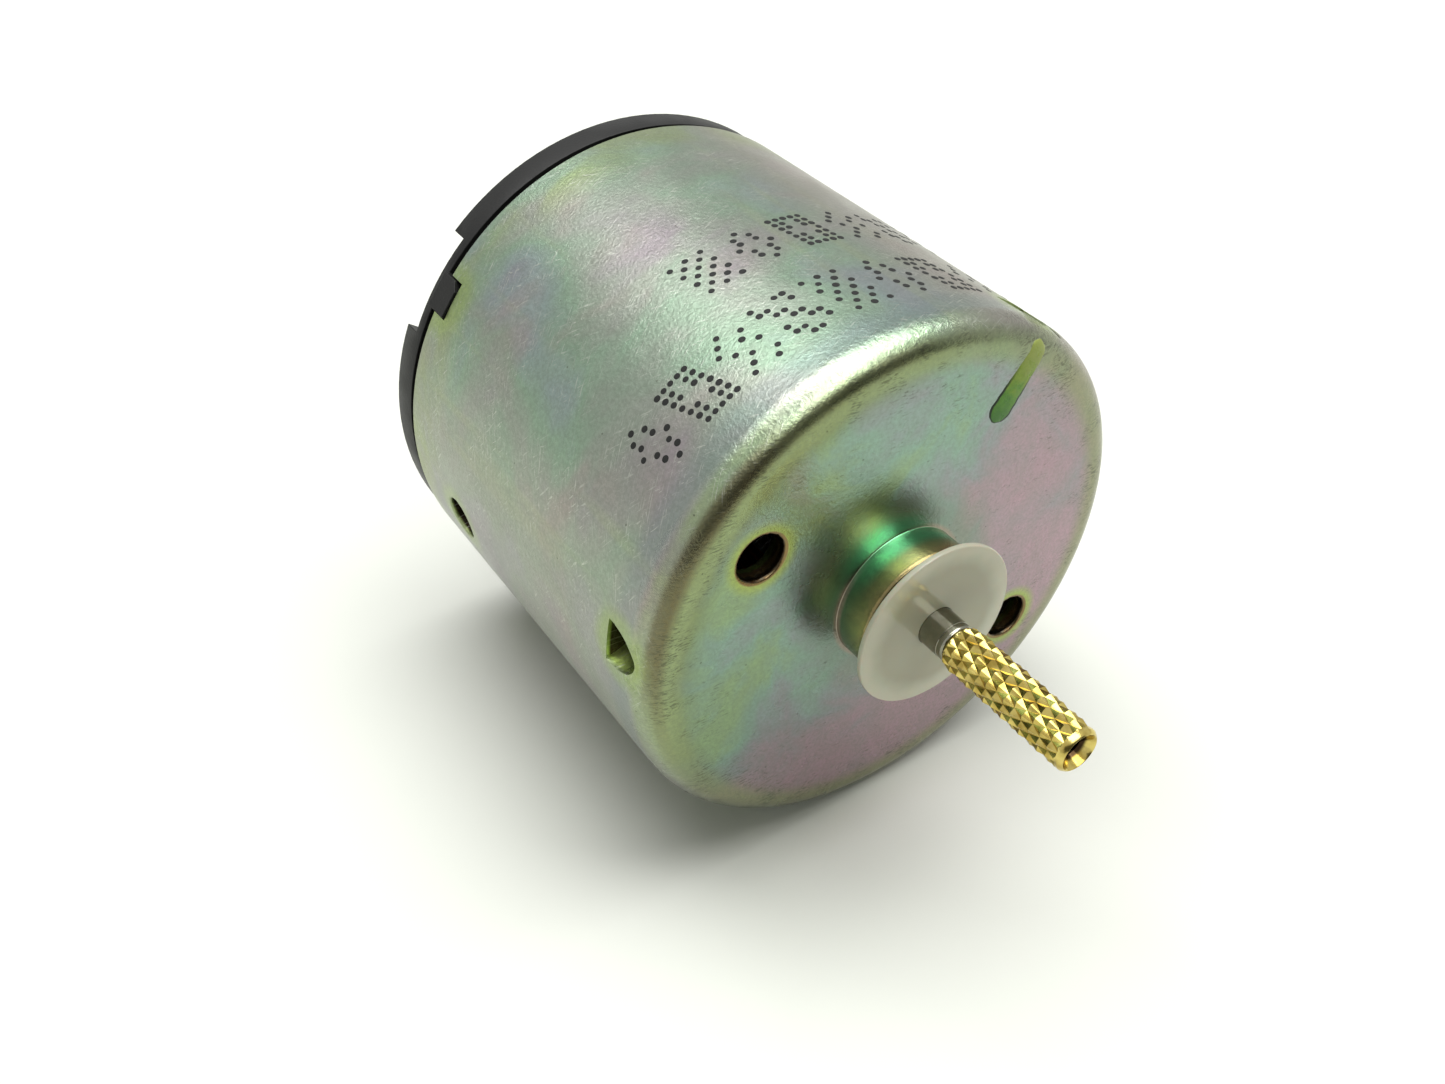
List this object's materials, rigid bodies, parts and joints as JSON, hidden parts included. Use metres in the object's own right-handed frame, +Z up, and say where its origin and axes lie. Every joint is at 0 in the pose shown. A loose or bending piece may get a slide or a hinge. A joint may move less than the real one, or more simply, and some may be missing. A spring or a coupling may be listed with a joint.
{
  "type": "brushed dc motor",
  "caption": "Small round-can brushed DC motor: plated steel can, black endcap, face screw holes, pilot boss, white disc and a hollow knurled brass sleeve on the shaft.",
  "frame": {"origin": "centre of the mounting face (the can's flat front), on the shaft axis", "axes": "+X along the shaft towards the output end, +Z up with the motor lying on its side, +Y completes the frame"},
  "size_m": [0.041, 0.0276, 0.0276],
  "materials": {
    "plated_can": "zinc plated with an iridescent yellow passivation, satin wall, glossier face",
    "black_plastic": "moulded, satin",
    "shaft_steel": "ground and polished",
    "brass_knurl": "bright diamond knurl",
    "white_nylon": "milky, slightly translucent",
    "bronze_bearing": "sintered, oily",
    "ferrite": "ground dark grey",
    "spring_steel": "blued",
    "lamination_steel": "stacked sheet",
    "insulator_board": "matt",
    "enamelled_wire": "varnished copper wire",
    "phenolic": "moulded",
    "copper": "machined",
    "carbon": "pressed",
    "phosphor_bronze": "rolled strip",
    "tinned_brass": "bright tin plate",
    "varistor_ceramic": "fired"
  },
  "bodies": {
    "stator": {"can": "plated_can", "endcap": "black_plastic", "front_bearing": "bronze_bearing", "rear_bearing": "bronze_bearing", "magnet_1": "ferrite", "magnet_2": "ferrite", "magnet_clip_1": "spring_steel", "magnet_clip_2": "spring_steel", "brush_1": "carbon", "brush_2": "carbon", "brush_arm_1": "phosphor_bronze", "brush_arm_2": "phosphor_bronze", "terminal_1": "tinned_brass", "terminal_2": "tinned_brass"},
    "rotor": {"shaft": "shaft_steel", "knurled_sleeve": "brass_knurl", "front_washer": "white_nylon", "front_thrust_washer": "white_nylon", "front_spacer": "phenolic", "rear_thrust_washer": "white_nylon", "rotor_core": "lamination_steel", "front_insulator": "insulator_board", "rear_insulator": "insulator_board", "coil_1": "enamelled_wire", "coil_2": "enamelled_wire", "coil_3": "enamelled_wire", "commutator_hub": "phenolic", "segment_1": "copper", "segment_2": "copper", "segment_3": "copper", "ring_varistor": "varistor_ceramic"}
  },
  "joints": [
    {"name": "rotor_spin", "type": "hinge", "parent": "stator", "child": "rotor", "pos_m": [0, 0, 0], "axis": [1, 0, 0], "continuous": true}
  ]
}
